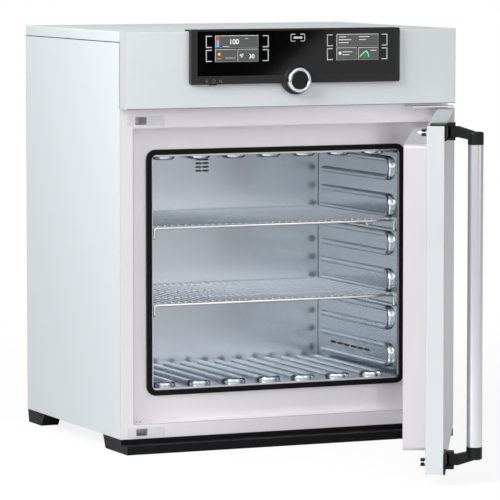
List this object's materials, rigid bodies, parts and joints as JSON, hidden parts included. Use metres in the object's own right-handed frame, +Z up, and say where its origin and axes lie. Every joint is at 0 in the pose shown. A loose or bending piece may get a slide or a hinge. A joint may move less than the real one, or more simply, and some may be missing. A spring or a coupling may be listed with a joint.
{
  "type": "laboratory oven",
  "caption": "Laboratory drying oven with a ribbed chamber, wire grid shelves, a plugged side-hinged door with a bar handle, and a control fascia with a turning knob.",
  "frame": {"origin": "on the floor under the front foot bar, at the middle of the width, in the plane of the front frame", "axes": "+X to the hinge side, right as seen from the front, +Y to the back, +Z up"},
  "size_m": [0.7519, 1.2507, 0.8675],
  "materials": {
    "side_panels": "light grey textured coating",
    "rear_sheet": "plain zinc-coated sheet",
    "header": "fine brushed stainless",
    "frame": "satin stainless",
    "door_face": "fine brushed stainless",
    "chamber": "bright rolled stainless",
    "shelf_wire": "electropolished stainless wire",
    "bezel_plastic": "fine-grained dark grey moulding",
    "fascia_glass": "glossy black printed panel",
    "display": "display module, grey tiles",
    "electronics": "circuit board and encoder",
    "gasket": "black silicone",
    "wool": "mineral wool",
    "heater_metal": "oxidised heater tube",
    "fittings": "bare stainless fittings",
    "sockets": "black moulding",
    "port": "plated socket shell",
    "feet": "black moulding",
    "handle_plastic": "black moulding",
    "bar_metal": "satin anodised tube",
    "knob_metal": "satin chromed ring",
    "knob_black": "black cap",
    "bushing": "plain bearing metal"
  },
  "bodies": {
    "cabinet": {"left_side_panel": "side_panels", "right_side_panel": "side_panels", "top_cover": "side_panels", "rear_panel": "rear_sheet", "base_plate": "rear_sheet", "header_panel": "header", "front_frame": "frame", "latch_keepers": "frame", "liner_floor": "chamber", "liner_ceiling": "chamber", "liner_left_wall": "chamber", "liner_right_wall": "chamber", "liner_back_wall": "chamber", "cockpit_bezel": "bezel_plastic", "cockpit_glass": "fascia_glass", "left_display": "display", "right_display": "display", "control_board": "electronics", "encoder_body": "electronics", "chamber_gasket": "gasket", "side_insulation": "wool", "top_insulation": "wool", "bottom_insulation": "wool", "back_insulation": "wool", "side_heaters": "heater_metal", "floor_heaters": "heater_metal", "ceiling_heaters": "heater_metal", "temperature_sensors": "fittings", "exhaust_tube": "fittings", "upper_hinge": "fittings", "lower_hinge": "fittings", "hinge_screws": "fittings", "rear_screws": "fittings", "power_inlet": "sockets", "exhaust_drive": "sockets", "data_port": "port", "front_feet": "feet", "front_crossbar": "feet", "rear_feet": "feet", "rear_crossbar": "feet"},
    "exhaust_flap": {"exhaust_flap": "fittings"},
    "encoder_rotor": {"encoder_rotor": "bushing"},
    "control_knob": {"control_knob": "knob_metal", "knob_cap": "knob_black"},
    "power_button": {"power_button": "bezel_plastic"},
    "upper_shelf": {"upper_shelf_frame": "shelf_wire", "upper_shelf_rods": "shelf_wire"},
    "lower_shelf": {"lower_shelf_frame": "shelf_wire", "lower_shelf_rods": "shelf_wire"},
    "door": {"door_outer_shell": "door_face", "door_inner_liner": "frame", "door_insulation": "wool", "door_bushes": "bushing", "latch_base_top": "handle_plastic", "latch_base_bottom": "handle_plastic", "latch_housings": "handle_plastic"},
    "latch": {"latch_pins": "fittings"},
    "handle": {"handle_bar": "bar_metal", "handle_arm_top": "handle_plastic", "handle_arm_bottom": "handle_plastic"}
  },
  "joints": [
    {"name": "door_hinge", "type": "hinge", "parent": "cabinet", "child": "door", "pos_m": [0.36, -0.02, 0.36], "axis": [0, 0, 1], "range_deg": [-61.7, 108.3]},
    {"name": "handle_turn", "type": "hinge", "parent": "door", "child": "handle", "pos_m": [0.05963, -0.63796, 0.365], "axis": [0, 0, -1], "range_deg": [0, 25]},
    {"name": "latch_turn", "type": "hinge", "parent": "door", "child": "latch", "pos_m": [0.02045, -0.61686, 0.36125], "axis": [0, 0, -1], "range_deg": [0, 10]},
    {"name": "knob_turn", "type": "hinge", "parent": "cabinet", "child": "encoder_rotor", "pos_m": [0, -0.045, 0.762], "axis": [0, 1, 0], "continuous": true},
    {"name": "knob_press", "type": "slide", "parent": "encoder_rotor", "child": "control_knob", "axis": [0, 1, 0], "range_m": [0, 0.001], "stiffness_N_per_m": 1500, "springref_m": -0.0006},
    {"name": "power_press", "type": "slide", "parent": "cabinet", "child": "power_button", "axis": [0, 0, 1], "range_m": [0, 0.002], "stiffness_N_per_m": 600, "springref_m": -0.001},
    {"name": "flap_turn", "type": "hinge", "parent": "cabinet", "child": "exhaust_flap", "pos_m": [0, 0.5225, 0.557], "axis": [1, 0, 0], "range_deg": [0, 90]},
    {"name": "upper_shelf_slide", "type": "slide", "parent": "cabinet", "child": "upper_shelf", "axis": [0, -1, 0], "range_m": [0, 0.08]},
    {"name": "lower_shelf_slide", "type": "slide", "parent": "cabinet", "child": "lower_shelf", "axis": [0, -1, 0], "range_m": [0, 0.08]}
  ],
  "couplings": [
    {"joint": "latch_turn", "follows": "handle_turn", "ratio": 0.4}
  ]
}
